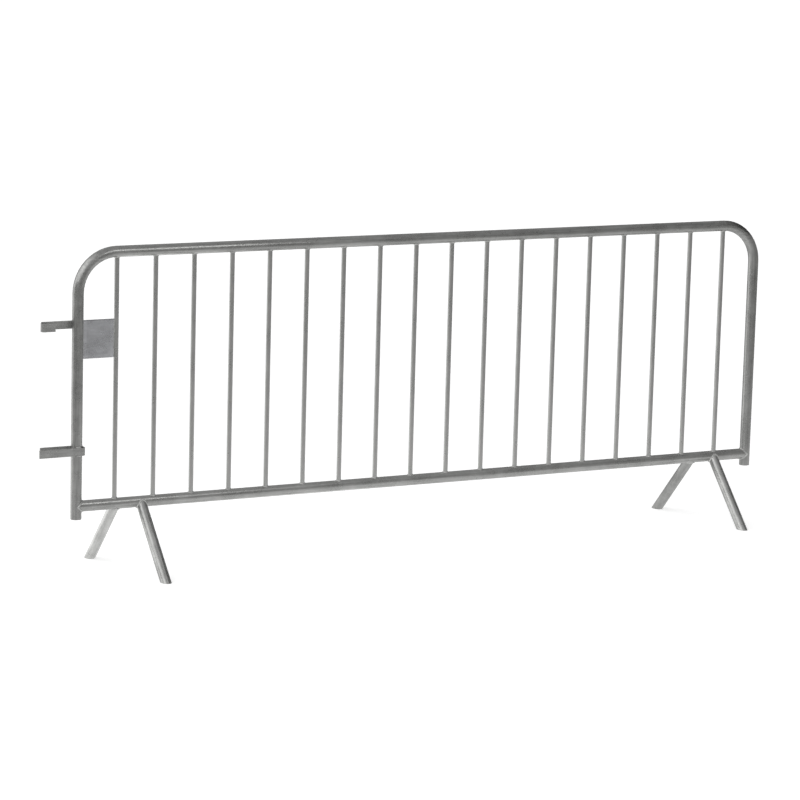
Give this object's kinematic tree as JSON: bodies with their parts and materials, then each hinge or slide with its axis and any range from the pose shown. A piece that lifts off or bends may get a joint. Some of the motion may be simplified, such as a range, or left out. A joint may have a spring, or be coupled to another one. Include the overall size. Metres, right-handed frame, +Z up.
{
  "type": "crowd control barrier",
  "caption": "Free-standing welded steel tube crowd barrier: bent arch frame with upright bars, a marking plate, splayed straight legs and fixed coupling hooks on one post.",
  "frame": {"origin": "on the floor, under the middle of the overall length, in the plane of the bars", "axes": "+X along the barrier, from the post with the hooks towards the plain post; +Y to the rear, where the upper hook's long arm is; +Z up"},
  "size_m": [2.614, 0.446, 1.02],
  "materials": {
    "galvanised_tube": "hot-dip galvanised, satin, with faint lengthwise streaks",
    "galvanised_bar": "hot-dip galvanised, satin",
    "galvanised_plate": "hot-dip galvanised sheet, dull, with faint spangle",
    "galvanised_strap": "hot-dip galvanised flat steel, satin"
  },
  "bodies": {
    "root": {"frame_tube": "galvanised_tube", "lower_rail": "galvanised_tube", "infill_bar_01": "galvanised_bar", "infill_bar_02": "galvanised_bar", "infill_bar_03": "galvanised_bar", "infill_bar_04": "galvanised_bar", "infill_bar_05": "galvanised_bar", "infill_bar_06": "galvanised_bar", "infill_bar_07": "galvanised_bar", "infill_bar_08": "galvanised_bar", "infill_bar_09": "galvanised_bar", "infill_bar_10": "galvanised_bar", "infill_bar_11": "galvanised_bar", "infill_bar_12": "galvanised_bar", "infill_bar_13": "galvanised_bar", "infill_bar_14": "galvanised_bar", "infill_bar_15": "galvanised_bar", "infill_bar_16": "galvanised_bar", "infill_bar_17": "galvanised_bar", "infill_bar_18": "galvanised_bar", "marking_plate": "galvanised_plate", "upper_hook": "galvanised_strap", "lower_hook": "galvanised_strap", "front_left_leg": "galvanised_tube", "rear_left_leg": "galvanised_tube", "front_right_leg": "galvanised_tube", "rear_right_leg": "galvanised_tube"}
  },
  "joints": []
}
